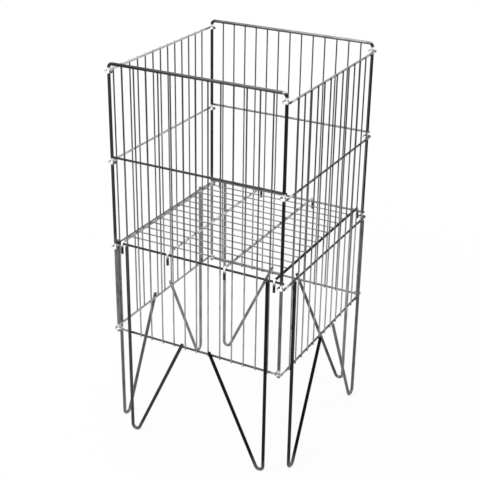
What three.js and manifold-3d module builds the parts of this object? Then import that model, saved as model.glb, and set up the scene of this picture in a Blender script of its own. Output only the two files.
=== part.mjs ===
// A square folding dump bin of bright plated steel wire.
// The front and back panels are arched frames filled with cross wires and uprights.
// Both frames face the front, so the cross wires lie inside the front posts and outside the back ones.
// The side panels hang between them: their cross wires end in eyes that turn on the frames' posts.
// A wire shelf hooks over the front and back cross wires, and each panel stands on two hairpin legs.
// Millimetres, +Z up, +X to the right, the front faces -Y, and the origin is on the floor in the middle.
import * as THREE from "three";
import { mergeVertices } from "three/addons/utils/BufferGeometryUtils.js";
import Module from "manifold-3d";

const wasm = await Module();
wasm.setup();

// Plan and heights, all to wire axes
const POST_SPAN_X = 400; // left post to right post
const POST_SPAN_Y = 420; // front post to back post
const RAIL_HEIGHT = 865; // top rail of the front and back frames
const SECOND_HEIGHT = 661.5; // second cross wire of the front and back panels
const SHELF_HEIGHT = 465.7; // third cross wire, which carries the shelf
const BOTTOM_HEIGHT = 251.5; // lowest cross wire of the front and back panels
const TOP_HINGE_DROP = 17; // top side wire below the rail
const HINGE_DROP = 8.5; // second and third side wires below the front and back ones
const BOTTOM_HINGE_RISE = 6; // lowest side wire above the front and back ones

// Wire diameters
const FRAME_WIRE = 7;
const CROSS_WIRE = 5;
const UPRIGHT_WIRE = 3.2;
const LEG_WIRE = 7.5;
const BAR_WIRE = 5.8;
const SHELF_WIRE = 2.8;

// Fits
const SEAT_GAP = 0.3; // between pieces that are welded or rest together
const EYE_CLEARANCE = 0.5; // round a post inside an eye
const WELD_SINK = 0.9; // how far an upright sinks into a cross wire at its weld

// Uprights, the same number on each panel
const UPRIGHTS = 13;
const UPRIGHT_TAIL = 3.5; // below the lowest cross wire
const UPRIGHT_HEAD = 2; // above the top side wire

// Frames and eyes
const RAIL_BEND = 9;
const POST_TAIL = 3; // post end below the lowest cross wire
const CROSS_END = 3; // cross wire end past the post
const EYE_SWEEP = 270; // degrees of a post that an eye goes round
const EYE_START = 270; // degrees, where an eye leaves its wire on the post's outer side

// Legs
const LIMB_ASIDE = 2; // upright limb from the last upright, towards the middle
const LEG_HEAD = 1; // upright limb's end above the third cross wire
const FRAME_BRACE_HEAD = 11.5; // sloping limb's end above the lowest cross wire, front and back
const SIDE_BRACE_HEAD = 5; // the same, left and right
const BRACE_FROM_MIDDLE = 33; // sloping limb's end from the panel's middle
const FRAME_FOOT_BEND = 9.5;
const SIDE_FOOT_BEND = 12;
const FOOT_FLAT = 0.5; // worn off the lowest point of each bend
const FLOOR_CUTTER = 60; // side of the cube that takes the flat off

// Shelf
const HOOK_TAIL = 21; // hook's end below the wire that it hangs on
const OUTER_BAR_RATIO = 0.58; // bar from the post, in spaces between uprights
const INNER_BAR_RATIO = 4.6;
const SHELF_WIRES = 14;
const SHELF_WIRE_MARGIN = 22; // first wire from the cross wire that the bars hang on
const SHELF_WIRE_END = 3; // past the outer bars' axes

// Facets
const FINE_SIDES = 6; // of a thin wire's section
const STOUT_SIDES = 8; // of a thick wire's section
const RAIL_BEND_STEPS = 4;
const EYE_STEPS = 8;
const FOOT_STEPS = 8;
const HOOK_STEPS = 4;

const UP = new THREE.Vector3(0, 0, 1);
const plate = new THREE.MeshStandardMaterial({ color: 0x5a5c5f, roughness: 0.2, metalness: 1 });

/** The axis of a bent wire, stepped at its own corners instead of at even lengths. */
class BentWire extends THREE.Curve {
  constructor(points) {
    super();
    this.points = points;
  }

  getSpacedPoints() {
    return this.points.map((point) => point.clone());
  }

  getTangentAt(u, target = new THREE.Vector3()) {
    const last = this.points.length - 1;
    const here = Math.round(u * last);
    target.set(0, 0, 0);
    for (const start of [here - 1, here]) {
      if (start < 0 || start >= last) continue;
      const step = this.points[start + 1].clone().sub(this.points[start]);
      target.add(step.normalize());
    }
    return target.normalize();
  }
}

/** A wire of round section along the given axis points, as closed geometry. */
function wire(points, diameter, sides) {
  const corners = [];
  for (let side = 0; side < sides; side++) {
    const angle = ((side + 0.5) / sides) * 2 * Math.PI;
    corners.push(new THREE.Vector2(Math.cos(angle), Math.sin(angle)).multiplyScalar(diameter / 2));
  }
  return new THREE.ExtrudeGeometry(new THREE.Shape(corners), {
    steps: points.length - 1,
    extrudePath: new BentWire(points),
  });
}

/** Closed geometry as a solid that can be joined and cut. */
function solid(geometry) {
  const bare = geometry.clone();
  bare.deleteAttribute("normal");
  bare.deleteAttribute("uv");
  const merged = mergeVertices(bare, 1e-4);
  return new wasm.Manifold(
    new wasm.Mesh({
      numProp: 3,
      vertProperties: merged.attributes.position.array,
      triVerts: new Uint32Array(merged.index.array),
    }),
  );
}

/** A solid as geometry again. */
function geometryOf(body) {
  const { vertProperties, triVerts } = body.getMesh();
  const geometry = new THREE.BufferGeometry();
  geometry.setAttribute("position", new THREE.BufferAttribute(vertProperties, 3));
  geometry.setIndex(new THREE.BufferAttribute(triVerts, 1));
  geometry.computeVertexNormals();
  return geometry;
}

/** Several crossing wires joined into one welded grid. */
function weld(geometries) {
  const [first, ...rest] = geometries.map(solid);
  return geometryOf(rest.reduce((sum, next) => sum.add(next), first));
}

function named(name, geometry) {
  const mesh = new THREE.Mesh(geometry, plate);
  mesh.name = name;
  return mesh;
}

/** Points of an arc in the plane of two unit vectors, from one angle to another in degrees. */
function arc(center, along, across, radius, from, to, steps) {
  const points = [];
  for (let step = 0; step <= steps; step++) {
    const angle = THREE.MathUtils.degToRad(from + ((to - from) * step) / steps);
    points.push(
      center
        .clone()
        .addScaledVector(along, radius * Math.cos(angle))
        .addScaledVector(across, radius * Math.sin(angle)),
    );
  }
  return points;
}

// Each panel is made in its own frame: X along it, -Y outwards, its posts' axes in the plane Y = 0.
const at = (x, outward, z) => new THREE.Vector3(x, -outward, z);
const ALONG = new THREE.Vector3(1, 0, 0);
const INWARD = new THREE.Vector3(0, 1, 0);

const EYE_RADIUS = (FRAME_WIRE + CROSS_WIRE) / 2 + EYE_CLEARANCE;
const CROSS_TO_UPRIGHT = (CROSS_WIRE + UPRIGHT_WIRE) / 2 - WELD_SINK;
const UPRIGHT_TO_LEG = Math.sqrt(((UPRIGHT_WIRE + LEG_WIRE) / 2 + SEAT_GAP) ** 2 - LIMB_ASIDE ** 2);
const FRAME_CROSS_OUT = -((FRAME_WIRE + CROSS_WIRE) / 2 + SEAT_GAP); // behind the posts
const FRAME_UPRIGHT_OUT = FRAME_CROSS_OUT + CROSS_TO_UPRIGHT;
const FRONT_LEG_OUT = FRAME_UPRIGHT_OUT + UPRIGHT_TO_LEG; // in front of the uprights
const BACK_LEG_OUT = FRAME_CROSS_OUT - (CROSS_WIRE + LEG_WIRE) / 2 - SEAT_GAP; // behind the cross wires
const SIDE_CROSS_OUT = EYE_RADIUS; // outside the posts
const SIDE_UPRIGHT_OUT = SIDE_CROSS_OUT + CROSS_TO_UPRIGHT;
const SIDE_LEG_OUT = SIDE_UPRIGHT_OUT + UPRIGHT_TO_LEG;
const FRAME_LEVELS = [BOTTOM_HEIGHT, SHELF_HEIGHT, SECOND_HEIGHT];
const SIDE_LEVELS = [
  BOTTOM_HEIGHT + BOTTOM_HINGE_RISE,
  SHELF_HEIGHT - HINGE_DROP,
  SECOND_HEIGHT - HINGE_DROP,
  RAIL_HEIGHT - TOP_HINGE_DROP,
];

const uprightPitch = (span) => span / (UPRIGHTS + 1);

/** The uprights of a panel, evenly spaced between its posts. */
function uprights(span, outward, bottom, top) {
  return Array.from({ length: UPRIGHTS }, (_, index) => {
    const x = (index + 1) * uprightPitch(span) - span / 2;
    return wire([at(x, outward, bottom), at(x, outward, top)], UPRIGHT_WIRE, FINE_SIDES);
  });
}

/** The arched frame of a front or back panel: two posts and the top rail, bent from one wire. */
function frameArch(span) {
  const side = span / 2;
  const foot = BOTTOM_HEIGHT - POST_TAIL;
  const bendX = side - RAIL_BEND;
  const bendZ = RAIL_HEIGHT - RAIL_BEND;
  return wire(
    [
      at(-side, 0, foot),
      ...arc(at(-bendX, 0, bendZ), ALONG, UP, RAIL_BEND, 180, 90, RAIL_BEND_STEPS),
      ...arc(at(bendX, 0, bendZ), ALONG, UP, RAIL_BEND, 90, 0, RAIL_BEND_STEPS),
      at(side, 0, foot),
    ],
    FRAME_WIRE,
    STOUT_SIDES,
  );
}

/** The filling of a front or back panel: straight cross wires that lie behind the posts, and uprights. */
function frameGrid(span) {
  const reach = span / 2 + CROSS_END;
  const crossWires = FRAME_LEVELS.map((z) =>
    wire([at(-reach, FRAME_CROSS_OUT, z), at(reach, FRAME_CROSS_OUT, z)], CROSS_WIRE, FINE_SIDES),
  );
  const top = RAIL_HEIGHT - FRAME_WIRE / 2 - SEAT_GAP;
  const bottom = BOTTOM_HEIGHT - UPRIGHT_TAIL;
  return weld([...crossWires, ...uprights(span, FRAME_UPRIGHT_OUT, bottom, top)]);
}

/** A side panel's cross wire: straight along the outside, with an eye round the post at each end. */
function hingeWire(span, z) {
  const points = [-1, 1].flatMap((end) => {
    const from = end < 0 ? EYE_START - EYE_SWEEP : EYE_START;
    return arc(at((end * span) / 2, 0, z), ALONG, INWARD, EYE_RADIUS, from, from + EYE_SWEEP, EYE_STEPS);
  });
  return wire(points, CROSS_WIRE, FINE_SIDES);
}

/** The filling of a side panel: hinge wires and the uprights welded outside them. */
function sideGrid(span) {
  const hingeWires = SIDE_LEVELS.map((z) => hingeWire(span, z));
  const bottom = SIDE_LEVELS[0] - UPRIGHT_TAIL;
  const top = SIDE_LEVELS.at(-1) + UPRIGHT_HEAD;
  return weld([...hingeWires, ...uprights(span, SIDE_UPRIGHT_OUT, bottom, top)]);
}

/** A hairpin leg: an upright limb, a bend that stands on the floor, and a sloping limb to the middle. */
function leg(side, limbFromMiddle, outward, limbTop, braceTop, footBend) {
  const limb = side * limbFromMiddle;
  const inward = ALONG.clone().multiplyScalar(-side);
  const bend = at(limb - side * footBend, outward, footBend + LEG_WIRE / 2 - FOOT_FLAT);
  const end = at(side * BRACE_FROM_MIDDLE, outward, braceTop);
  const reach = end.clone().sub(bend);
  const rise = Math.atan2(reach.z, reach.dot(inward)) - Math.acos(footBend / reach.length());
  const leaves = 360 + THREE.MathUtils.radToDeg(rise);
  const bent = wire(
    [
      at(limb, outward, limbTop),
      ...arc(bend, inward, UP, footBend, 180, leaves, FOOT_STEPS),
      end,
    ],
    LEG_WIRE,
    STOUT_SIDES,
  );
  const floor = new THREE.BoxGeometry(FLOOR_CUTTER, FLOOR_CUTTER, FLOOR_CUTTER);
  floor.translate(bend.x, bend.y, -FLOOR_CUTTER / 2);
  return geometryOf(solid(bent).subtract(solid(floor)));
}

/** One panel with its two legs, in the panel's own frame. */
function panel(name, parts, legs, { span, legOut, levels, braceHead, footBend }) {
  const group = new THREE.Group();
  for (const [part, geometry] of Object.entries(parts)) {
    group.add(named(`${name}_${part}`, geometry));
  }
  const limbFromMiddle = span / 2 - uprightPitch(span) - LIMB_ASIDE;
  const limbTop = levels[1] + LEG_HEAD;
  const braceTop = levels[0] + braceHead;
  [-1, 1].forEach((side, index) => {
    const shape = leg(side, limbFromMiddle, legOut, limbTop, braceTop, footBend);
    group.add(named(`${name}_${legs[index]}_leg`, shape));
  });
  return group;
}

/** A front or back panel, moved into place. */
function framePanel(name, facing, legOut) {
  const parts = { frame: frameArch(POST_SPAN_X), grid: frameGrid(POST_SPAN_X) };
  const group = panel(name, parts, ["left", "right"], {
    span: POST_SPAN_X,
    legOut,
    levels: FRAME_LEVELS,
    braceHead: FRAME_BRACE_HEAD,
    footBend: FRAME_FOOT_BEND,
  });
  group.position.y = (facing * POST_SPAN_Y) / 2;
  return group;
}

/** A left or right panel, turned and moved into place. */
function sidePanel(name, legs, facing, turn) {
  const parts = { grid: sideGrid(POST_SPAN_Y) };
  const group = panel(name, parts, legs, {
    span: POST_SPAN_Y,
    legOut: SIDE_LEG_OUT,
    levels: SIDE_LEVELS,
    braceHead: SIDE_BRACE_HEAD,
    footBend: SIDE_FOOT_BEND,
  });
  group.position.x = (facing * POST_SPAN_X) / 2;
  group.rotation.z = turn;
  return group;
}

// The cross wires that carry the shelf
const FRONT_SEAT_Y = -POST_SPAN_Y / 2 - FRAME_CROSS_OUT;
const BACK_SEAT_Y = POST_SPAN_Y / 2 - FRAME_CROSS_OUT;

/** A shelf bar from front to back, hooked over the third cross wire at both ends. */
function shelfBar(x) {
  const hook = (CROSS_WIRE + BAR_WIRE) / 2 + SEAT_GAP;
  const outwards = new THREE.Vector3(0, 1, 0);
  const tail = SHELF_HEIGHT - HOOK_TAIL;
  const front = new THREE.Vector3(x, FRONT_SEAT_Y, SHELF_HEIGHT);
  const back = new THREE.Vector3(x, BACK_SEAT_Y, SHELF_HEIGHT);
  return wire(
    [
      new THREE.Vector3(x, FRONT_SEAT_Y - hook, tail),
      ...arc(front, outwards, UP, hook, 180, 90, HOOK_STEPS),
      ...arc(back, outwards, UP, hook, 90, 0, HOOK_STEPS),
      new THREE.Vector3(x, BACK_SEAT_Y + hook, tail),
    ],
    BAR_WIRE,
    STOUT_SIDES,
  );
}

/** The shelf: bars from front to back with thin wires across them. */
function shelf() {
  const group = new THREE.Group();
  const pitch = uprightPitch(POST_SPAN_X);
  const outer = POST_SPAN_X / 2 - OUTER_BAR_RATIO * pitch;
  const inner = POST_SPAN_X / 2 - INNER_BAR_RATIO * pitch;
  [-outer, -inner, inner, outer].forEach((x, index) => {
    group.add(named(`shelf_bar_${index + 1}`, shelfBar(x)));
  });
  const barHeight = SHELF_HEIGHT + (CROSS_WIRE + BAR_WIRE) / 2 + SEAT_GAP;
  const wireHeight = barHeight + (BAR_WIRE + SHELF_WIRE) / 2 + SEAT_GAP;
  const reach = outer + SHELF_WIRE_END;
  const firstY = FRONT_SEAT_Y + SHELF_WIRE_MARGIN;
  const lastY = BACK_SEAT_Y - SHELF_WIRE_MARGIN;
  for (let index = 0; index < SHELF_WIRES; index++) {
    const y = THREE.MathUtils.lerp(firstY, lastY, index / (SHELF_WIRES - 1));
    const ends = [new THREE.Vector3(-reach, y, wireHeight), new THREE.Vector3(reach, y, wireHeight)];
    const number = String(index + 1).padStart(2, "0");
    group.add(named(`shelf_wire_${number}`, wire(ends, SHELF_WIRE, FINE_SIDES)));
  }
  return group;
}

const stand = new THREE.Group();
stand.add(framePanel("front", -1, FRONT_LEG_OUT));
stand.add(framePanel("back", 1, BACK_LEG_OUT));
stand.add(sidePanel("right", ["front", "back"], 1, Math.PI / 2));
stand.add(sidePanel("left", ["back", "front"], -1, -Math.PI / 2));
stand.add(shelf());

// The back reaches out further than the front, so the middle isn't halfway between the posts.
const outline = new THREE.Box3().setFromObject(stand);
stand.position.y = -(outline.min.y + outline.max.y) / 2;

const bin = new THREE.Group();
bin.add(stand);

export default bin;
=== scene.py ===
"""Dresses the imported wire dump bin: round plated wire, smooth bends, rounded ends and weld beads.

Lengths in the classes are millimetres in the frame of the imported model. Meshes are made in metres.
"""

from __future__ import annotations

import logging
import math
import random
from collections.abc import Callable, Mapping, Sequence
from dataclasses import dataclass, field
from enum import Enum
from typing import Any

import bpy
from mathutils import Matrix, Vector

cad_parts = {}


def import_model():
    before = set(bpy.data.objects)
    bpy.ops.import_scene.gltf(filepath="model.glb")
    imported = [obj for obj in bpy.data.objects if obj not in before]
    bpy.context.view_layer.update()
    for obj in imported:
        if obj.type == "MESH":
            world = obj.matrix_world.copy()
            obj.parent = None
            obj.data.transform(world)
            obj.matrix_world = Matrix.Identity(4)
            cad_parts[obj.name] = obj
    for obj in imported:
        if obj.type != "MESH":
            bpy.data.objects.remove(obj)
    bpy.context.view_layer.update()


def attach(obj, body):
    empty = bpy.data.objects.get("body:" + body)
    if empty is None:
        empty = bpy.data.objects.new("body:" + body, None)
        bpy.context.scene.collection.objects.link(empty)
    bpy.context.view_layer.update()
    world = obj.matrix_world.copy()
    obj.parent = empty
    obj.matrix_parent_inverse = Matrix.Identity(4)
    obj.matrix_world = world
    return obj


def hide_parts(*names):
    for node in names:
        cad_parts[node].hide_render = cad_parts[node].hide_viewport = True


LOG = logging.getLogger("dump_bin")
MM = 0.001
HEAT = "weld_heat"
# Attribute with each point's plating tone, which carries the wires' painted reflections.
TONE_AND_REFLECTION = "plate_tone_and_reflection"
PHOTO_PIXELS = 480
SENSOR_MM = 36.0
SEED = 7
WHITE = (1.0, 1.0, 1.0, 1.0)
POSTS_MIDDLE_Y = -3.7437
# Depth and radius of each ring of a wire's rounded end, as shares of the wire's radius.
WIRE_END = ((0.0, 0.72), (0.1, 0.9), (0.3, 1.0))

Triple = tuple[float, float, float]
Tone = Callable[[Vector], float]


class Axis(Enum):
    """Directions of a panel's own frame: along it, into the bin, and up."""

    ALONG = Vector((1.0, 0.0, 0.0))
    INWARD = Vector((0.0, 1.0, 0.0))
    UP = Vector((0.0, 0.0, 1.0))


class Sock:
    """A shader value that takes part in Python arithmetic by adding Math nodes."""

    def __init__(self, shader: "Shader", socket: bpy.types.NodeSocket | None) -> None:
        """Wraps one output socket of the shader's tree, or none for a closing node."""
        self.shader = shader
        self.socket = socket

    def _math(self, operation: str, first: Any, second: Any) -> "Sock":
        """Adds a Math node on two values."""
        return self.shader.node("ShaderNodeMath", {"operation": operation}, {0: first, 1: second})

    def __add__(self, other: Any) -> "Sock":
        """This value plus another."""
        return self._math("ADD", self, other)

    def __radd__(self, other: Any) -> "Sock":
        """Another value plus this one."""
        return self._math("ADD", other, self)

    def __sub__(self, other: Any) -> "Sock":
        """This value less another."""
        return self._math("SUBTRACT", self, other)

    def __rsub__(self, other: Any) -> "Sock":
        """Another value less this one."""
        return self._math("SUBTRACT", other, self)

    def __mul__(self, other: Any) -> "Sock":
        """This value times another."""
        return self._math("MULTIPLY", self, other)

    def __rmul__(self, other: Any) -> "Sock":
        """Another value times this one."""
        return self._math("MULTIPLY", other, self)

    def larger(self, other: Any) -> "Sock":
        """The larger of this value and another."""
        return self._math("MAXIMUM", self, other)

    def towards(self, value: Any, share: Any) -> "Sock":
        """This value moved towards another by a share of the way."""
        return self + (value - self) * share

    def ramp(self, low: float, high: float) -> "Sock":
        """This value as a smooth step from 0 at low to 1 at high."""
        settings = {"interpolation_type": "SMOOTHSTEP"}
        return self.shader.node("ShaderNodeMapRange", settings, {0: self, 1: low, 2: high})


class Shader:
    """Makes the nodes of one material or world."""

    def __init__(self, tree: bpy.types.NodeTree) -> None:
        """Starts from an empty tree."""
        self.tree = tree
        tree.nodes.clear()

    def node(
        self,
        kind: str,
        settings: Mapping[str, Any] | None = None,
        inputs: Mapping[Any, Any] | None = None,
        output: Any = 0,
    ) -> Sock:
        """Adds one node.

        Args:
            kind: The node's type.
            settings: Its own properties, which are set first.
            inputs: Values or links, by socket name or number.
            output: The output socket to hand back.

        Returns:
            The chosen output.
        """
        made = self.tree.nodes.new(kind)
        for name, value in (settings or {}).items():
            setattr(made, name, value)
        for key, value in (inputs or {}).items():
            if isinstance(value, Sock):
                self.tree.links.new(value.socket, made.inputs[key])
            else:
                made.inputs[key].default_value = value
        return Sock(self, made.outputs[output]) if len(made.outputs) else Sock(self, None)

    def mix(self, factor: Any, first: Any, second: Any) -> Sock:
        """Mixes two colours.

        Args:
            factor: Share of the second colour.
            first: Colour or socket.
            second: Colour or socket.

        Returns:
            The mixed colour.
        """
        return self.node("ShaderNodeMix", {"data_type": "RGBA"}, {0: factor, 6: first, 7: second}, 2)

    def noise(self, place: Sock, scale: float, detail: float = 2.0) -> Sock:
        """Adds a noise value.

        Args:
            place: Coordinates.
            scale: Features for each metre.
            detail: Octaves.

        Returns:
            The noise, from 0 to 1.
        """
        return self.node("ShaderNodeTexNoise", {}, {"Vector": place, "Scale": scale, "Detail": detail}, 0)


def rgba(colour: Triple) -> tuple[float, float, float, float]:
    """A colour with full alpha."""
    return (*colour, 1.0)


@dataclass(frozen=True)
class PlatedFinish:
    """Bright plating on drawn wire: each stretch has its own tone, which is a painted reflection, and welds
    and feet are duller.
    """

    name: str = "plated_wire"
    darkest: Triple = (0.0, 0.0, 0.0)
    brightest: Triple = (0.97, 0.98, 1.0)
    smudge_scale: float = 34.0
    smudge_detail: float = 3.0
    smudge_edge: tuple[float, float] = (0.42, 0.7)
    smudge_share: float = 0.3
    smudge_roughness: float = 0.1
    weld_tone: float = 0.1
    weld_share: float = 0.6
    weld_roughness: float = 0.2
    scuff_scale: float = 420.0
    scuff_edge: tuple[float, float] = (0.4, 0.6)
    scuff_height: tuple[float, float] = (0.002, 0.02)
    scuff_share: float = 0.7
    scuff_tone: float = 0.16
    roughness: float = 0.2
    grain_scale: float = 1400.0
    grain_depth: float = 0.00004
    grain_strength: float = 0.35

    def material(self) -> bpy.types.Material:
        """Makes the material.

        Returns:
            The new material.
        """
        made = bpy.data.materials.new(self.name)
        made.use_nodes = True
        shader = Shader(made.node_tree)
        place = shader.node("ShaderNodeTexCoord", output="Object")
        height = shader.node("ShaderNodeSeparateXYZ", {}, {0: place}, 2)
        heat = shader.node("ShaderNodeAttribute", {"attribute_name": HEAT}, {}, "Fac")
        # Each point's plating tone, with the wires' painted reflections in it.
        tone_and_reflection = shader.node("ShaderNodeAttribute", {"attribute_name": TONE_AND_REFLECTION}, {}, "Fac")
        smudge = shader.noise(place, self.smudge_scale, self.smudge_detail).ramp(*self.smudge_edge)
        grain = shader.noise(place, self.grain_scale)
        scuff = (1.0 - height.ramp(*self.scuff_height)) * self.scuff_share
        scuff = scuff * shader.noise(place, self.scuff_scale).ramp(*self.scuff_edge)
        tone = tone_and_reflection * (1.0 - smudge * self.smudge_share)
        tone = tone.towards(self.weld_tone, heat * self.weld_share).towards(self.scuff_tone, scuff)
        colour = shader.mix(tone, rgba(self.darkest), rgba(self.brightest))
        roughness = self.roughness + smudge * self.smudge_roughness + heat * self.weld_roughness
        bump = shader.node(
            "ShaderNodeBump",
            {},
            {"Strength": self.grain_strength, "Distance": self.grain_depth, "Height": grain + heat * grain},
        )
        surface = shader.node(
            "ShaderNodeBsdfPrincipled",
            {},
            {"Base Color": colour, "Metallic": 1.0, "Roughness": roughness, "Normal": bump},
        )
        shader.node("ShaderNodeOutputMaterial", {}, {"Surface": surface})
        return made


def even(value: float) -> Tone:
    """The same tone all along a wire."""
    return lambda point: value


def by_height(*stops: tuple[float, float]) -> Tone:
    """A tone that changes with height.

    Args:
        stops: Heights from the lowest, each with its tone.

    Returns:
        The tone of a point.
    """

    def tone(point: Vector) -> float:
        low, value = stops[0]
        for high, upper in stops[1:]:
            value += (upper - value) * min(max((point.z - low) / (high - low), 0.0), 1.0)
            low = high
        return value

    return tone


@dataclass(frozen=True)
class Spot:
    """How far a spot of painted light and shade goes on a wire, and how far it takes to fade."""

    reach: float
    fade: float = 2.0


def spotted(base: Tone, places: Sequence[Vector], spot: Spot, value: float) -> Tone:
    """A tone with spots of painted highlight and painted shade where a wire bends, ends or wraps a post.

    Args:
        base: Tone away from the spots.
        places: Their middles.
        spot: Their size.
        value: Tone inside a spot.

    Returns:
        The tone of a point.
    """

    def tone(point: Vector) -> float:
        near = min((point - place).length for place in places)
        share = min(max((near - spot.reach) / spot.fade, 0.0), 1.0)
        return value + (base(point) - value) * share

    return tone


def finely(path: Sequence[Vector], step: float) -> list[Vector]:
    """A path with more points on its long straight stretches.

    Args:
        path: Its corners.
        step: Longest stretch to leave as it is.

    Returns:
        The points in order.
    """
    points = [path[0]]
    for before, after in zip(path, path[1:]):
        parts = max(1, math.ceil((after - before).length / step))
        points += [before.lerp(after, part / parts) for part in range(1, parts + 1)]
    return points


@dataclass(frozen=True)
class Welds:
    """Half sizes of the weld beads, and how uneven they are in size, shape and tone."""

    leg: Triple = (4.6, 1.2, 1.7)
    post: Triple = (2.6, 2.6, 1.1)
    rail: Triple = (1.9, 2.2, 1.1)
    shelf: Triple = (2.0, 1.9, 0.9)
    crossing: tuple[float, float] = (2.25, 2.0)
    crossing_depth: float = 1.05
    growth: tuple[float, float] = (0.92, 1.08)
    lump: float = 0.07
    tones: tuple[float, float] = (0.07, 0.13)


WELDS = Welds()


@dataclass
class WireMesh:
    """Collects wires and weld beads into one mesh."""

    verts: list[Vector] = field(default_factory=list)
    faces: list[tuple[int, ...]] = field(default_factory=list)
    heat: list[float] = field(default_factory=list)
    # Plating tone of each point: painted reflections on the wires, and the welds' own tone on the beads.
    tone_and_reflection: list[float] = field(default_factory=list)

    def _point(self, point: Vector, tone_and_reflection: float, heat: float = 0.0) -> int:
        """Adds one point.

        Args:
            point: Its place.
            tone_and_reflection: Tone of the plating there, with its painted reflection.
            heat: 1 on a weld.

        Returns:
            Its number.
        """
        self.verts.append(point)
        self.tone_and_reflection.append(tone_and_reflection)
        self.heat.append(heat)
        return len(self.verts) - 1

    def _ring(
        self,
        middle: Vector,
        plane: tuple[Vector, Vector],
        radius: float,
        sides: int,
        tone_and_reflection: float,
    ) -> int:
        """Adds a ring of points.

        Args:
            middle: Its centre.
            plane: Two unit vectors in its plane, square to each other.
            radius: Its radius.
            sides: Points round it.
            tone_and_reflection: Tone of the plating there, with its painted reflection.

        Returns:
            Number of its first point.
        """
        first = len(self.verts)
        for step in range(sides):
            angle = 2.0 * math.pi * step / sides
            self._point(middle + (plane[0] * math.cos(angle) + plane[1] * math.sin(angle)) * radius, tone_and_reflection)
        return first

    def wire(self, path: Sequence[Vector], diameter: float, tone: Tone, sides: int = 14) -> None:
        """Adds a round wire with slightly rounded ends.

        Args:
            path: Points of its axis.
            diameter: Its thickness.
            tone: Tone of the plating along it.
            sides: Faces round it.
        """
        radius = diameter / 2.0
        steps = [(after - before).normalized() for before, after in zip(path, path[1:])]
        tangents = [steps[0]]
        tangents += [(before + after).normalized() for before, after in zip(steps, steps[1:])]
        tangents.append(steps[-1])
        side = tangents[0].orthogonal().normalized()
        rings: list[int] = []
        last = len(path) - 1
        for number, (point, tangent) in enumerate(zip(path, tangents)):
            if number:
                side = tangents[number - 1].rotation_difference(tangent) @ side
            plane = (side, tangent.cross(side))
            stations = list(WIRE_END) if number in (0, last) else [(0.0, 1.0)]
            inward = tangent
            if number == last:
                inward = -tangent
                stations.reverse()
            for depth, share in stations:
                middle = point + inward * (radius * depth)
                rings.append(self._ring(middle, plane, radius * share, sides, tone(point)))
        for low, high in zip(rings, rings[1:]):
            for step in range(sides):
                after = (step + 1) % sides
                self.faces.append((low + step, low + after, high + after, high + step))
        start, end = (self._point(point.copy(), tone(point)) for point in (path[0], path[-1]))
        for step in range(sides):
            after = (step + 1) % sides
            self.faces.append((start, rings[0] + after, rings[0] + step))
            self.faces.append((end, rings[-1] + step, rings[-1] + after))

    def bead(self, middle: Vector, axes: tuple[Vector, Vector], sizes: Triple, dice: random.Random) -> None:
        """Adds a weld bead: a lumpy rounded blob.

        Args:
            middle: Its centre.
            axes: Two unit vectors square to each other, for the first two sizes.
            sizes: Half sizes along the two axes and square to both.
            dice: Source of its small unevenness.
        """
        rows, columns = 5, 10
        frame = (axes[0], axes[1], axes[0].cross(axes[1]))
        tone = dice.uniform(*WELDS.tones)
        first = len(self.verts)
        for row in range(1, rows):
            tilt = math.pi * row / rows
            for column in range(columns):
                turn = 2.0 * math.pi * column / columns
                round_ = (math.sin(tilt) * math.cos(turn), math.sin(tilt) * math.sin(turn), math.cos(tilt))
                lump = 1.0 + dice.uniform(-WELDS.lump, WELDS.lump)
                offset = sum((frame[k] * (sizes[k] * round_[k]) for k in range(3)), Vector())
                self._point(middle + offset * lump, tone, 1.0)
        top = self._point(middle + frame[2] * sizes[2], tone, 1.0)
        bottom = self._point(middle - frame[2] * sizes[2], tone, 1.0)
        for column in range(columns):
            after = (column + 1) % columns
            for row in range(rows - 2):
                low, high = first + row * columns, first + (row + 1) * columns
                self.faces.append((low + column, high + column, high + after, low + after))
            last = first + (rows - 2) * columns
            self.faces.append((top, first + column, first + after))
            self.faces.append((bottom, last + after, last + column))

    def stand_on_floor(self) -> None:
        """Flattens what would go below the floor."""
        for point in self.verts:
            point.z = max(point.z, 0.0)

    def piece(self, name: str, place: Matrix, finish: bpy.types.Material) -> bpy.types.Object:
        """Makes the Blender object.

        Args:
            name: The object's name.
            place: Turns and moves millimetre points into the bin's frame.
            finish: Its material.

        Returns:
            The object, linked to the scene.
        """
        mesh = bpy.data.meshes.new(name)
        mesh.from_pydata([(place @ point) * MM for point in self.verts], [], self.faces)
        for title, values in ((HEAT, self.heat), (TONE_AND_REFLECTION, self.tone_and_reflection)):
            mesh.attributes.new(title, "FLOAT", "POINT").data.foreach_set("value", values)
        mesh.polygons.foreach_set("use_smooth", [True] * len(mesh.polygons))
        mesh.materials.append(finish)
        mesh.update()
        made = bpy.data.objects.new(name, mesh)
        bpy.context.scene.collection.objects.link(made)
        return made


def at(along: float, outward: float, height: float) -> Vector:
    """A point in a panel's own frame, where outward is away from the bin's middle."""
    return Vector((along, -outward, height))


def arc(
    middle: Vector,
    plane: tuple[Vector, Vector],
    radius: float,
    span: tuple[float, float],
    steps: int,
) -> list[Vector]:
    """Points of an arc.

    Args:
        middle: Its centre.
        plane: Unit vectors at 0 and at 90 degrees.
        radius: Its radius.
        span: First and last angle in degrees.
        steps: Straight steps along it.

    Returns:
        The points in order.
    """
    points = []
    for step in range(steps + 1):
        angle = math.radians(span[0] + (span[1] - span[0]) * step / steps)
        points.append(middle + (plane[0] * math.cos(angle) + plane[1] * math.sin(angle)) * radius)
    return points


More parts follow.
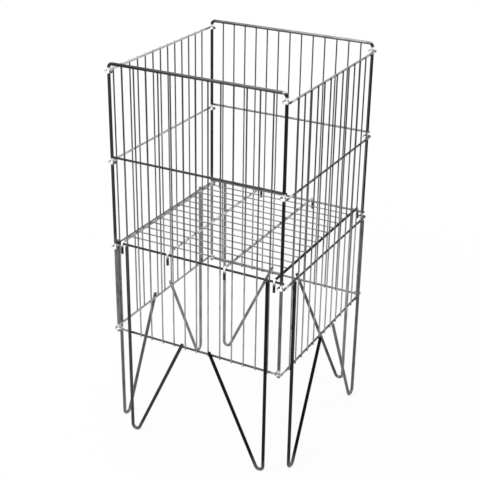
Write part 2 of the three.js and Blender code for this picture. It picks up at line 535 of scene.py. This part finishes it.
@dataclass(frozen=True)
class Gauge:
    """Wire thicknesses and the fits between wires."""

    frame: float = 7.0
    cross: float = 5.0
    upright: float = 3.2
    leg: float = 7.5
    bar: float = 5.8
    shelf: float = 2.8
    seat_gap: float = 0.3
    eye_clearance: float = 0.5
    weld_sink: float = 0.9
    limb_aside: float = 2.0

    @property
    def eye_radius(self) -> float:
        """From a post's axis to the axis of the eye round it."""
        return (self.frame + self.cross) / 2.0 + self.eye_clearance

    @property
    def frame_cross_out(self) -> float:
        """Cross wires of the front and back panels, behind the posts."""
        return -((self.frame + self.cross) / 2.0 + self.seat_gap)

    @property
    def frame_upright_out(self) -> float:
        """Uprights of the front and back panels."""
        return self.frame_cross_out + self.cross_to_upright

    @property
    def cross_to_upright(self) -> float:
        """From a cross wire's axis to that of the uprights welded outside it."""
        return (self.cross + self.upright) / 2.0 - self.weld_sink

    @property
    def upright_to_leg(self) -> float:
        """From an upright's axis out to that of a leg that rests against it."""
        reach = (self.upright + self.leg) / 2.0 + self.seat_gap
        return math.sqrt(reach**2 - self.limb_aside**2)


@dataclass(frozen=True)
class Plan:
    """The bin's plan and heights, to wire axes, and how far the posts' middle is from the origin."""

    post_span_x: float = 400.0
    post_span_y: float = 420.0
    middle_y: float = POSTS_MIDDLE_Y
    rail: float = 865.0
    second: float = 661.5
    shelf: float = 465.7
    bottom: float = 251.5
    top_hinge_drop: float = 17.0
    hinge_drop: float = 8.5
    bottom_hinge_rise: float = 6.0
    uprights: int = 13

    @property
    def frame_levels(self) -> tuple[float, ...]:
        """Heights of the front and back cross wires, from the lowest."""
        return (self.bottom, self.shelf, self.second)

    @property
    def side_levels(self) -> tuple[float, ...]:
        """Heights of the side cross wires, from the lowest."""
        return (
            self.bottom + self.bottom_hinge_rise,
            self.shelf - self.hinge_drop,
            self.second - self.hinge_drop,
            self.rail - self.top_hinge_drop,
        )


@dataclass(frozen=True)
class WallTones:
    """Tones of one wall's wires: 0 throws back no light and 1 is white.

    Each tone is a painted reflection: it makes a wire as light or as dark as what it would reflect.
    Cross wires go from the lowest. Uprights are below the shelf, above it and at the top. Each leg has
    its upright limb's and its sloping limb's tone, and each post its tone below and above the shelf.
    Legs and posts are in the wall's own order. The rail goes from left to right, with a painted glint on
    its right bend. The lead is where a side wall's wires leave their first post. The lead, eye and low
    end tones are painted reflections on that stretch, on the eyes and on the lowest wires' ends, and the
    eye highlight is a painted highlight where an eye wraps a post.
    """

    cross: tuple[float, ...]
    uprights: tuple[float, float, float]
    legs: tuple[tuple[float, float], tuple[float, float]]
    # Painted reflections on the posts, the rail, the lead, the eyes and the lowest wires' ends, with a
    # painted glint on the rail.
    posts: tuple[tuple[float, float], tuple[float, float]] = ((0.09, 0.03), (0.09, 0.03))
    rail: tuple[float, float] = (0.08, 0.08)
    glint: float = 0.08
    lead: float = 0.12
    eye: float = 0.1
    low_end: float = 0.2
    # Painted highlight where an eye wraps a post.
    eye_highlight: float = 0.9


@dataclass(frozen=True)
class LegSeat:
    """Where a leg's upright limb stands, and the wire that it is welded to at some heights."""

    leg_out: float
    wire_out: float
    wire: float
    aside: float
    heights: tuple[float, ...]


@dataclass
class HairpinLeg:
    """A leg bent from one wire: an upright limb, a bend on the floor and a sloping limb."""

    side: int
    limb_from_middle: float
    seat: LegSeat
    limb_top: float
    brace_top: float
    foot_bend: float
    gauge: Gauge
    # Painted reflection tones of the upright and the sloping limb; the foot is lighter below the first height
    # and fades out by the second.
    tones: tuple[float, float]
    foot_tone: float = 0.09
    foot_lighter_heights: tuple[float, float] = (12.0, 34.0)
    brace_from_middle: float = 33.0
    foot_flat: float = 0.5
    bend_steps: int = 22
    faces: int = 18

    def path(self) -> list[Vector]:
        """Points of the leg's axis from the limb's top to the brace's end."""
        limb = self.side * self.limb_from_middle
        inward = Axis.ALONG.value * -self.side
        low = self.foot_bend + self.gauge.leg / 2.0 - self.foot_flat
        outward = self.seat.leg_out
        bend = at(limb - self.side * self.foot_bend, outward, low)
        end = at(self.side * self.brace_from_middle, outward, self.brace_top)
        reach = end - bend
        rise = math.atan2(reach.z, reach.dot(inward)) - math.acos(self.foot_bend / reach.length)
        span = (180.0, 360.0 + math.degrees(rise))
        turn = arc(bend, (inward, Axis.UP.value), self.foot_bend, span, self.bend_steps)
        return [at(limb, outward, self.limb_top), *turn, end]

    def shade(self, point: Vector) -> float:
        """The plating's tone at a point: the painted reflection of its limb, or lighter on the foot."""
        limb, brace = self.tones
        inward = (self.limb_from_middle - self.side * point.x) / (2.0 * self.foot_bend)
        tone = limb + (brace - limb) * min(max(inward, 0.0), 1.0)
        low, high = self.foot_lighter_heights
        return by_height((low, max(tone, self.foot_tone)), (high, tone))(point)

    def build(self, dice: random.Random) -> WireMesh:
        """Makes the leg with the welds that hold it.

        Args:
            dice: Source of the beads' unevenness.

        Returns:
            The mesh in the panel's frame.
        """
        made = WireMesh()
        path = self.path()
        made.wire(finely(path, self.gauge.leg), self.gauge.leg, self.shade, self.faces)
        share = self.seat.wire / (self.seat.wire + self.gauge.leg)
        for height in self.seat.heights:
            limb = path[0].copy()
            limb.z = height
            held = at(limb.x + self.side * self.seat.aside, self.seat.wire_out, height)
            across = (limb - held).normalized()
            made.bead(held.lerp(limb, share), (Axis.UP.value, across), WELDS.leg, dice)
        made.stand_on_floor()
        return made


@dataclass
class Panel:
    """What the four walls share: their place, their uprights and their legs."""

    name: str
    leg_names: tuple[str, str]
    span: float
    place: Matrix
    finish: bpy.types.Material
    plan: Plan
    gauge: Gauge
    dice: random.Random
    tones: WallTones
    shelf_blend: float = 25.0
    second_blend: float = 20.0
    upright_step: float = 25.0
    weld_drop: float = 7.0
    weld_rise: float = 1.0

    @property
    def pitch(self) -> float:
        """Spacing of the uprights."""
        return self.span / (self.plan.uprights + 1)

    def upright_places(self) -> list[float]:
        """Where the uprights stand along the panel."""
        return [(number + 1) * self.pitch - self.span / 2.0 for number in range(self.plan.uprights)]

    def upright_tone(self) -> Tone:
        """The painted reflection tone of the uprights, which changes at the shelf and at the second cross
        wires.
        """
        below, above, top = self.tones.uprights
        shelf, second = self.plan.shelf, self.plan.second
        return by_height(
            (shelf - self.shelf_blend, below),
            (shelf + self.shelf_blend, above),
            (second - self.second_blend, above),
            (second + self.second_blend, top),
        )

    def post_tone(self, pair: tuple[float, float]) -> Tone:
        """The painted reflection tone of a post, which changes at the shelf."""
        shelf, blend = self.plan.shelf, self.shelf_blend
        return by_height((shelf - blend, pair[0]), (shelf + blend, pair[1]))

    def cross_bead(self, mesh: WireMesh, along: float, outward: float, height: float) -> None:
        """Adds the weld between an upright and a cross wire.

        Args:
            mesh: Takes the bead.
            along: Place along the panel.
            outward: Axis of the cross wire.
            height: Height of the cross wire.
        """
        middle = at(along, outward + self.gauge.cross / 2.0 - self.gauge.weld_sink / 2.0, height)
        grow = self.dice.uniform(*WELDS.growth)
        wide, high = WELDS.crossing
        sizes = (wide * grow, high * grow, WELDS.crossing_depth)
        mesh.bead(middle, (Axis.ALONG.value, Axis.UP.value), sizes, self.dice)

    def beside_upright(self, upright_out: float, levels: Sequence[float]) -> LegSeat:
        """The seat of a leg that is welded along the last upright.

        Args:
            upright_out: Axis of the uprights.
            levels: Heights of the cross wires, from the lowest.

        Returns:
            The seat.
        """
        return LegSeat(
            leg_out=upright_out + self.gauge.upright_to_leg,
            wire_out=upright_out,
            wire=self.gauge.upright,
            aside=self.gauge.limb_aside,
            heights=(
                levels[1] - self.weld_drop,
                levels[0] + self.weld_rise,
                (levels[0] + levels[1]) / 2.0,
            ),
        )

    def legs(
        self,
        seat: LegSeat,
        levels: Sequence[float],
        heads: tuple[float, float],
        foot_bend: float,
    ) -> list[bpy.types.Object]:
        """Makes the panel's two legs.

        Args:
            seat: Where their upright limbs stand.
            levels: Heights of the cross wires, from the lowest.
            heads: How far the upright limb ends above the second of them, and the sloping limb above
                the lowest.
            foot_bend: Radius of the bend on the floor.

        Returns:
            The two pieces.
        """
        made = []
        for side, end, tones in zip((-1, 1), self.leg_names, self.tones.legs):
            leg = HairpinLeg(
                side=side,
                limb_from_middle=self.span / 2.0 - self.pitch - self.gauge.limb_aside,
                seat=seat,
                limb_top=levels[1] + heads[0],
                brace_top=levels[0] + heads[1],
                foot_bend=foot_bend,
                gauge=self.gauge,
                tones=tones,
            )
            made.append(self.dress(leg.build(self.dice), f"{end}_leg"))
        return made

    def dress(self, mesh: WireMesh, part: str) -> bpy.types.Object:
        """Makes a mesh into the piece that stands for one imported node.

        Args:
            mesh: In the panel's frame.
            part: The node's name without the panel's.

        Returns:
            The piece, riding on the panel's body.
        """
        node = f"{self.name}_{part}"
        piece = mesh.piece(f"{node}_wire", self.place, self.finish)
        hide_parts(node)
        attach(piece, f"{self.name}_panel")
        return piece

    def build(self) -> list[bpy.types.Object]:
        """Makes the panel's pieces, in the way of its kind."""
        raise NotImplementedError


@dataclass
class FramePanel(Panel):
    """A front or back wall: an arched frame with cross wires behind it, uprights and legs."""

    legs_behind: bool = False
    rail_bend: float = 9.0
    post_tail: float = 3.0
    cross_end: float = 3.0
    upright_tail: float = 3.5
    leg_heads: tuple[float, float] = (1.0, 11.5)
    foot_bend: float = 9.5
    bend_steps: int = 12
    arch_step: float = 3.0
    arch_faces: int = 16
    cross_step: float = 8.0
    post_weld_out: float = 0.1
    # Height above each eye and size of the painted highlight on a post.
    eye_highlight_rise: float = 3.0
    eye_highlight_spot: Spot = Spot(5.0)
    # Place and size of the painted glint past the rail's right bend.
    glint_past_bend: float = 3.0
    glint_spot: Spot = Spot(0.5, 3.0)
    # Size of the painted reflection on the lowest wire's ends.
    low_end_spot: Spot = Spot(10.0, 25.0)

    def arch(self) -> WireMesh:
        """The two posts and the top rail, bent from one wire."""
        side = self.span / 2.0
        foot = self.plan.bottom - self.post_tail
        bend_x, bend_z = side - self.rail_bend, self.plan.rail - self.rail_bend
        plane = (Axis.ALONG.value, Axis.UP.value)
        path = [
            at(-side, 0.0, foot),
            *arc(at(-bend_x, 0.0, bend_z), plane, self.rail_bend, (180.0, 90.0), self.bend_steps),
            *arc(at(bend_x, 0.0, bend_z), plane, self.rail_bend, (90.0, 0.0), self.bend_steps),
            at(side, 0.0, foot),
        ]
        # The posts and the rail carry painted reflections: each post's tone changes at the shelf, and the
        # rail goes from its left tone to its right tone.
        left, right = (self.post_tone(pair) for pair in self.tones.posts)
        rail_left, rail_right = self.tones.rail

        def tone(point: Vector) -> float:
            inside = min(max((side - abs(point.x)) / (2.0 * self.rail_bend), 0.0), 1.0)
            post = left(point) if point.x < 0.0 else right(point)
            rail = rail_left + (rail_right - rail_left) * (point.x + side) / self.span
            return post + (rail - post) * inside

        # Painted highlights on the posts where the side walls' eyes wrap them.
        heights = [level + self.eye_highlight_rise for level in self.plan.side_levels]
        eye_highlights = [at(end * side, 0.0, height) for end in (-1, 1) for height in heights]
        shade = spotted(tone, eye_highlights, self.eye_highlight_spot, self.tones.eye_highlight)
        # A painted glint on the rail just past its right bend.
        glint = at(bend_x + self.glint_past_bend, 0.0, self.plan.rail)
        shade = spotted(shade, [glint], self.glint_spot, self.tones.glint)
        made = WireMesh()
        made.wire(finely(path, self.arch_step), self.gauge.frame, shade, self.arch_faces)
        return made

    def grid(self) -> WireMesh:
        """The cross wires and uprights with their welds."""
        made = WireMesh()
        out, upright_out = self.gauge.frame_cross_out, self.gauge.frame_upright_out
        reach = self.span / 2.0 + self.cross_end
        top = self.plan.rail - self.gauge.frame / 2.0 - self.gauge.seat_gap
        for height, tone in zip(self.plan.frame_levels, self.tones.cross):
            ends = [at(-reach, out, height), at(reach, out, height)]
            # The lowest wire's ends carry a painted reflection.
            end_tone = self.tones.low_end if height == self.plan.bottom else tone
            shade = spotted(even(tone), ends, self.low_end_spot, end_tone)
            made.wire(finely(ends, self.cross_step), self.gauge.cross, shade)
            for side in (-1, 1):
                middle = at(side * self.span / 2.0, out + self.gauge.cross / 2.0 + self.post_weld_out, height)
                made.bead(middle, (Axis.ALONG.value, Axis.UP.value), WELDS.post, self.dice)
        for along in self.upright_places():
            foot = self.plan.bottom - self.upright_tail
            path = finely([at(along, upright_out, foot), at(along, upright_out, top)], self.upright_step)
            made.wire(path, self.gauge.upright, self.upright_tone())
            for height in self.plan.frame_levels:
                self.cross_bead(made, along, out, height)
            middle = at(along, upright_out / 2.0, top)
            made.bead(middle, (Axis.ALONG.value, Axis.INWARD.value), WELDS.rail, self.dice)
        return made

    def build(self) -> list[bpy.types.Object]:
        """Makes the panel's pieces."""
        levels, out = self.plan.frame_levels, self.gauge.frame_cross_out
        seat = self.beside_upright(self.gauge.frame_upright_out, levels)
        if self.legs_behind:
            seat = LegSeat(
                leg_out=out - (self.gauge.cross + self.gauge.leg) / 2.0 - self.gauge.seat_gap,
                wire_out=out,
                wire=self.gauge.cross,
                aside=0.0,
                heights=levels[:2],
            )
        made = [self.dress(self.arch(), "frame"), self.dress(self.grid(), "grid")]
        return made + self.legs(seat, levels, self.leg_heads, self.foot_bend)


@dataclass
class SidePanel(Panel):
    """A left or right wall: cross wires that end in eyes round the posts, and uprights."""

    eye_sweep: float = 270.0
    eye_start: float = 270.0
    upright_tail: float = 3.5
    upright_head: float = 2.0
    leg_heads: tuple[float, float] = (1.0, 5.0)
    foot_bend: float = 12.0
    eye_steps: int = 30
    eye_margin: float = 0.5
    hinge_step: float = 4.0
    # Size of the painted highlights on the front and back of each eye.
    eye_highlight_spot: Spot = Spot(3.5)
    # Place and size of the painted reflection where the wires leave their first post.
    lead_from_post: float = 12.0
    lead_spot: Spot = Spot(10.0, 8.0)

    def hinge_path(self, height: float) -> list[Vector]:
        """Axis of one cross wire with its two eyes.

        Args:
            height: Its height.

        Returns:
            The points in order.
        """
        points = []
        plane = (Axis.ALONG.value, Axis.INWARD.value)
        for end in (-1, 1):
            first = self.eye_start - (self.eye_sweep if end < 0 else 0.0)
            middle = at(end * self.span / 2.0, 0.0, height)
            span = (first, first + self.eye_sweep)
            points += arc(middle, plane, self.gauge.eye_radius, span, self.eye_steps)
        return points

    def grid(self) -> WireMesh:
        """The cross wires and uprights with their welds."""
        made = WireMesh()
        levels = self.plan.side_levels
        out = self.gauge.eye_radius
        upright_out = out + self.gauge.cross_to_upright
        for height, tone in zip(levels, self.tones.cross):
            low = height == levels[0]
            # The eye and low end tones are painted reflections. On the lowest wire the eye and its highlight
            # both take the low end tone.
            eye, eye_highlight = (self.tones.low_end,) * 2 if low else (self.tones.eye, self.tones.eye_highlight)
            ends = [at(end * self.span / 2.0, 0.0, height) for end in (-1, 1)]
            # Painted highlights on the front and back of each eye.
            eye_highlights = [end + Axis.ALONG.value * (face * out) for end in ends for face in (-1, 1)]
            # Painted reflection where the wire leaves its first post.
            lead = at(self.lead_from_post - self.span / 2.0, out, height)
            shade = spotted(even(tone), [lead], self.lead_spot, self.tones.lead)
            shade = spotted(shade, ends, Spot(out + self.eye_margin), eye)
            shade = spotted(shade, eye_highlights, self.eye_highlight_spot, eye_highlight)
            made.wire(finely(self.hinge_path(height), self.hinge_step), self.gauge.cross, shade)
        foot, top = levels[0] - self.upright_tail, levels[-1] + self.upright_head
        for along in self.upright_places():
            path = finely([at(along, upright_out, foot), at(along, upright_out, top)], self.upright_step)
            made.wire(path, self.gauge.upright, self.upright_tone())
            for height in levels:
                self.cross_bead(made, along, out, height)
        return made

    def build(self) -> list[bpy.types.Object]:
        """Makes the panel's pieces."""
        levels = self.plan.side_levels
        seat = self.beside_upright(self.gauge.eye_radius + self.gauge.cross_to_upright, levels)
        made = [self.dress(self.grid(), "grid")]
        return made + self.legs(seat, levels, self.leg_heads, self.foot_bend)


@dataclass
class Shelf:
    """Bars hooked over the third cross wires, with thin wires welded across them."""

    finish: bpy.types.Material
    plan: Plan
    gauge: Gauge
    dice: random.Random
    hook_tail: float = 21.0
    outer_ratio: float = 0.58
    inner_ratio: float = 4.6
    wires: int = 14
    wire_margin: float = 22.0
    wire_end: float = 3.0
    # Painted reflection tones of the bars, the thin wires and the hooks' tails, and a painted highlight on
    # each hook's bend.
    bar_tones: tuple[float, ...] = (0.48, 0.72, 0.5, 0.015)
    wire_tone: float = 0.22
    tail_tone: float = 0.03
    tail_fade: float = 1.0
    bend_highlight: float = 0.85
    bend_highlight_spot: Spot = Spot(4.0)
    hook_steps: int = 12
    bar_step: float = 4.0
    bar_faces: int = 18
    wire_step: float = 25.0

    @property
    def seats(self) -> tuple[float, float]:
        """The front and the back cross wire that carry the shelf."""
        half = self.plan.post_span_y / 2.0
        return -half - self.gauge.frame_cross_out, half - self.gauge.frame_cross_out

    @property
    def bar_places(self) -> list[float]:
        """Where the bars lie, from left to right."""
        pitch = self.plan.post_span_x / (self.plan.uprights + 1)
        outer = self.plan.post_span_x / 2.0 - self.outer_ratio * pitch
        inner = self.plan.post_span_x / 2.0 - self.inner_ratio * pitch
        return [-outer, -inner, inner, outer]

    @property
    def hook(self) -> float:
        """Radius of a hook's axis round the wire that it hangs on."""
        return (self.gauge.cross + self.gauge.bar) / 2.0 + self.gauge.seat_gap

    def bar(self, along: float, tone: float) -> WireMesh:
        """One bar with its two hooks.

        Args:
            along: Its place from left to right.
            tone: Tone of its plating, a painted reflection.

        Returns:
            The mesh, from the posts' middle.
        """
        outward, tail = Vector((0.0, 1.0, 0.0)), self.plan.shelf - self.hook_tail
        plane = (outward, Axis.UP.value)
        front, back = (Vector((along, seat, self.plan.shelf)) for seat in self.seats)
        path = [
            Vector((along, front.y - self.hook, tail)),
            *arc(front, plane, self.hook, (180.0, 90.0), self.hook_steps),
            *arc(back, plane, self.hook, (90.0, 0.0), self.hook_steps),
            Vector((along, back.y + self.hook, tail)),
        ]
        # The hooks' tails carry a darker painted reflection, and each hook's bend a painted highlight.
        low = self.plan.shelf - self.hook / 2.0
        shade = by_height((low - self.tail_fade, self.tail_tone), (low + self.tail_fade, tone))
        quarter = 1 + self.hook_steps // 4
        shade = spotted(shade, [path[quarter], path[-1 - quarter]], self.bend_highlight_spot, self.bend_highlight)
        made = WireMesh()
        made.wire(finely(path, self.bar_step), self.gauge.bar, shade, self.bar_faces)
        return made

    def cross_wire(self, number: int) -> WireMesh:
        """One thin wire with its welds to the bars.

        Args:
            number: Counted from the front, from 0.

        Returns:
            The mesh, from the posts' middle.
        """
        first, last = self.seats[0] + self.wire_margin, self.seats[1] - self.wire_margin
        y = first + (last - first) * number / (self.wires - 1)
        bar_top = self.plan.shelf + self.hook + self.gauge.bar / 2.0
        height = bar_top + self.gauge.shelf / 2.0 + self.gauge.seat_gap
        reach = self.bar_places[-1] + self.wire_end
        made = WireMesh()
        path = finely([Vector((-reach, y, height)), Vector((reach, y, height))], self.wire_step)
        made.wire(path, self.gauge.shelf, even(self.wire_tone))
        for along in self.bar_places:
            middle = Vector((along, y, bar_top + self.gauge.seat_gap / 2.0))
            made.bead(middle, (Axis.ALONG.value, Axis.INWARD.value), WELDS.shelf, self.dice)
        return made

    def dress(self, mesh: WireMesh, node: str) -> bpy.types.Object:
        """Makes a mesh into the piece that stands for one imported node.

        Args:
            mesh: From the posts' middle.
            node: The node's name.

        Returns:
            The piece, riding on the shelf.
        """
        place = Matrix.Translation((0.0, self.plan.middle_y, 0.0))
        piece = mesh.piece(f"{node}_rod", place, self.finish)
        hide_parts(node)
        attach(piece, "shelf")
        return piece

    def build(self) -> list[bpy.types.Object]:
        """Makes the bars and the wires across them."""
        bars = enumerate(zip(self.bar_places, self.bar_tones), 1)
        made = [self.dress(self.bar(x, tone), f"shelf_bar_{number}") for number, (x, tone) in bars]
        numbers = range(self.wires)
        return made + [self.dress(self.cross_wire(n), f"shelf_wire_{n + 1:02d}") for n in numbers]


@dataclass(frozen=True)
class PhotoCamera:
    """The photograph's camera, fitted to the bin's posts, wires and feet."""

    azimuth: float = 28.041
    elevation: float = 24.871
    roll: float = 0.734
    distance: float = 2462.7
    focal_pixels: float = 1094.4
    target_y: float = POSTS_MIDDLE_Y
    target_height: float = 432.46
    aim_right: float = -6.42
    aim_up: float = 2.5
    clip_end: float = 100.0

    def build(self) -> bpy.types.Object:
        """Makes the camera and gives it to the scene.

        Returns:
            The camera.
        """
        turn, tilt, roll = (math.radians(v) for v in (self.azimuth, self.elevation, self.roll))
        back = Vector((math.sin(turn) * math.cos(tilt), -math.cos(turn) * math.cos(tilt), math.sin(tilt)))
        right = Vector((math.cos(turn), math.sin(turn), 0.0))
        up = back.cross(right)
        aim = Vector((0.0, self.target_y, self.target_height)) + right * self.aim_right + up * self.aim_up
        rolled_right = right * math.cos(roll) + up * math.sin(roll)
        rolled_up = up * math.cos(roll) - right * math.sin(roll)
        data = bpy.data.cameras.new("photo_camera")
        data.sensor_fit = "HORIZONTAL"
        data.sensor_width = SENSOR_MM
        data.lens = self.focal_pixels * SENSOR_MM / PHOTO_PIXELS
        data.clip_end = self.clip_end
        camera = bpy.data.objects.new("photo_camera", data)
        bpy.context.scene.collection.objects.link(camera)
        pose = Matrix((rolled_right, rolled_up, back)).transposed().to_4x4()
        pose.translation = (aim + back * self.distance) * MM
        camera.matrix_world = pose
        bpy.context.scene.camera = camera
        return camera


@dataclass(frozen=True)
class SoftBox:
    """One square studio lamp."""

    name: str
    place: Triple
    target: Triple
    size: float
    power: float

    def build(self) -> bpy.types.Object:
        """Makes the lamp.

        Returns:
            The lamp, turned to its target.
        """
        data = bpy.data.lights.new(self.name, "AREA")
        data.size = self.size
        data.energy = self.power
        lamp = bpy.data.objects.new(self.name, data)
        lamp.location = self.place
        lamp.rotation_euler = (Vector(self.target) - Vector(self.place)).to_track_quat("-Z", "Y").to_euler()
        bpy.context.scene.collection.objects.link(lamp)
        return lamp


@dataclass(frozen=True)
class Studio:
    """A plain white floor and background under soft lamps."""

    floor_reach: float = 12.0
    floor_colour: Triple = (0.86, 0.86, 0.86)
    fill: float = 0.55
    floor_white: float = 0.9
    floor_fade: tuple[float, float] = (0.5, 1.6)
    lamps: tuple[SoftBox, ...] = (
        SoftBox("key_box", (-0.9, -1.1, 2.6), (0.0, 0.0, 0.5), 2.4, 42.0),
        SoftBox("top_box", (0.3, 0.5, 3.0), (0.0, 0.0, 0.6), 2.8, 36.0),
    )

    @staticmethod
    def seen(shader: Shader) -> Sock:
        """1 for rays from the camera, off gloss and through glass, which see the white background."""
        kinds = ("Is Camera Ray", "Is Glossy Ray", "Is Transmission Ray")
        camera, gloss, glass = (shader.node("ShaderNodeLightPath", output=kind) for kind in kinds)
        return camera.larger(gloss).larger(glass)

    def world(self) -> None:
        """Makes the world: white where it is seen and a soft fill elsewhere."""
        world = bpy.data.worlds.new("studio")
        world.use_nodes = True
        shader = Shader(world.node_tree)
        white = shader.node("ShaderNodeBackground", {}, {"Color": WHITE, "Strength": 1.0})
        fill = shader.node("ShaderNodeBackground", {}, {"Color": WHITE, "Strength": self.fill})
        mixed = shader.node("ShaderNodeMixShader", {}, {0: self.seen(shader), 1: fill, 2: white})
        shader.node("ShaderNodeOutputWorld", {}, {"Surface": mixed})
        bpy.context.scene.world = world

    def floor(self) -> bpy.types.Object:
        """Makes the floor, near white where it is seen, with the bin's soft shadow on it.

        Returns:
            The floor.
        """
        finish = bpy.data.materials.new("studio_floor")
        finish.use_nodes = True
        shader = Shader(finish.node_tree)
        matt = shader.node("ShaderNodeBsdfDiffuse", {}, {"Color": rgba(self.floor_colour)})
        white = shader.node("ShaderNodeEmission", {}, {"Color": WHITE, "Strength": 1.0})
        place = shader.node("ShaderNodeTexCoord", output="Object")
        away = shader.node("ShaderNodeVectorMath", {"operation": "LENGTH"}, {0: place}, "Value")
        near = 1.0 - away.ramp(*self.floor_fade)
        factor = self.seen(shader) * (1.0 - near * (1.0 - self.floor_white))
        mixed = shader.node("ShaderNodeMixShader", {}, {0: factor, 1: matt, 2: white})
        shader.node("ShaderNodeOutputMaterial", {}, {"Surface": mixed})
        reach = self.floor_reach
        mesh = bpy.data.meshes.new("studio_floor")
        corners = [(-reach, -reach, 0.0), (reach, -reach, 0.0), (reach, reach, 0.0), (-reach, reach, 0.0)]
        mesh.from_pydata(corners, [], [(0, 1, 2, 3)])
        mesh.materials.append(finish)
        floor = bpy.data.objects.new("studio_floor", mesh)
        bpy.context.scene.collection.objects.link(floor)
        return floor

    def build(self) -> None:
        """Makes the floor, the world and the lamps."""
        bpy.context.scene.view_settings.view_transform = "Standard"
        self.world()
        self.floor()
        for lamp in self.lamps:
            lamp.build()


def walls(finish: bpy.types.Material, plan: Plan, gauge: Gauge, dice: random.Random) -> list[Panel]:
    """The four walls in their places.

    Args:
        finish: Their material.
        plan: The bin's plan and heights.
        gauge: Wire thicknesses.
        dice: Source of the welds' unevenness.

    Returns:
        Front, back, right and left.
    """
    deep, wide = plan.post_span_y / 2.0, plan.post_span_x / 2.0
    # Painted reflection tones of each wall's wires, with a painted glint on the front and back rails.
    front = WallTones(
        cross=(0.08, 0.035, 0.045),
        uprights=(0.34, 0.15, 0.08),
        legs=((0.065, 0.035), (0.016, 0.012)),
        posts=((0.2, 0.045), (0.14, 0.02)),
        rail=(0.02, 0.1),
        glint=0.4,
        low_end=0.4,
    )
    back = WallTones(
        cross=(0.16, 0.14, 0.2),
        uprights=(0.25, 0.18, 0.12),
        legs=((0.3, 0.2), (0.22, 0.1)),
        posts=((0.3, 0.04), (0.07, 0.012)),
        rail=(0.09, 0.2),
        glint=0.2,
    )
    right = WallTones(
        cross=(0.16, 0.09, 0.14, 0.32),
        uprights=(0.37, 0.15, 0.07),
        legs=((0.025, 0.01), (0.13, 0.13)),
        lead=0.62,
        low_end=0.38,
    )
    left = WallTones(
        cross=(0.4, 0.15, 0.48, 0.5),
        uprights=(0.25, 0.18, 0.09),
        legs=((0.27, 0.2), (0.16, 0.13)),
        lead=0.3,
        low_end=0.5,
    )
    across, along = plan.post_span_x, plan.post_span_y
    rows = (
        (FramePanel, "front", ("left", "right"), across, (0.0, -deep), 0.0, front, {}),
        (FramePanel, "back", ("left", "right"), across, (0.0, deep), 0.0, back, {"legs_behind": True}),
        (SidePanel, "right", ("front", "back"), along, (wide, 0.0), 90.0, right, {"leg_heads": (6.5, 5.0)}),
        (SidePanel, "left", ("back", "front"), along, (-wide, 0.0), -90.0, left, {}),
    )
    made = []
    for kind, name, leg_names, span, (x, y), degrees, tones, more in rows:
        turn = Matrix.Rotation(math.radians(degrees), 4, "Z")
        place = Matrix.Translation((x, y + plan.middle_y, 0.0)) @ turn
        made.append(kind(name, leg_names, span, place, finish, plan, gauge, dice, tones, **more))
    return made


def main() -> None:
    """Builds the bin's pieces, the studio and the camera."""
    logging.basicConfig(level=logging.INFO, format="%(name)s: %(message)s")
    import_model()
    finish = PlatedFinish().material()
    plan, gauge, dice = Plan(), Gauge(), random.Random(SEED)
    for panel in walls(finish, plan, gauge, dice):
        for piece in panel.build():
            LOG.info("%s: %d faces", piece.name, len(piece.data.polygons))
    for piece in Shelf(finish, plan, gauge, dice).build():
        LOG.info("%s: %d faces", piece.name, len(piece.data.polygons))
    Studio().build()
    PhotoCamera().build()


if __name__ == "__main__":
    main()
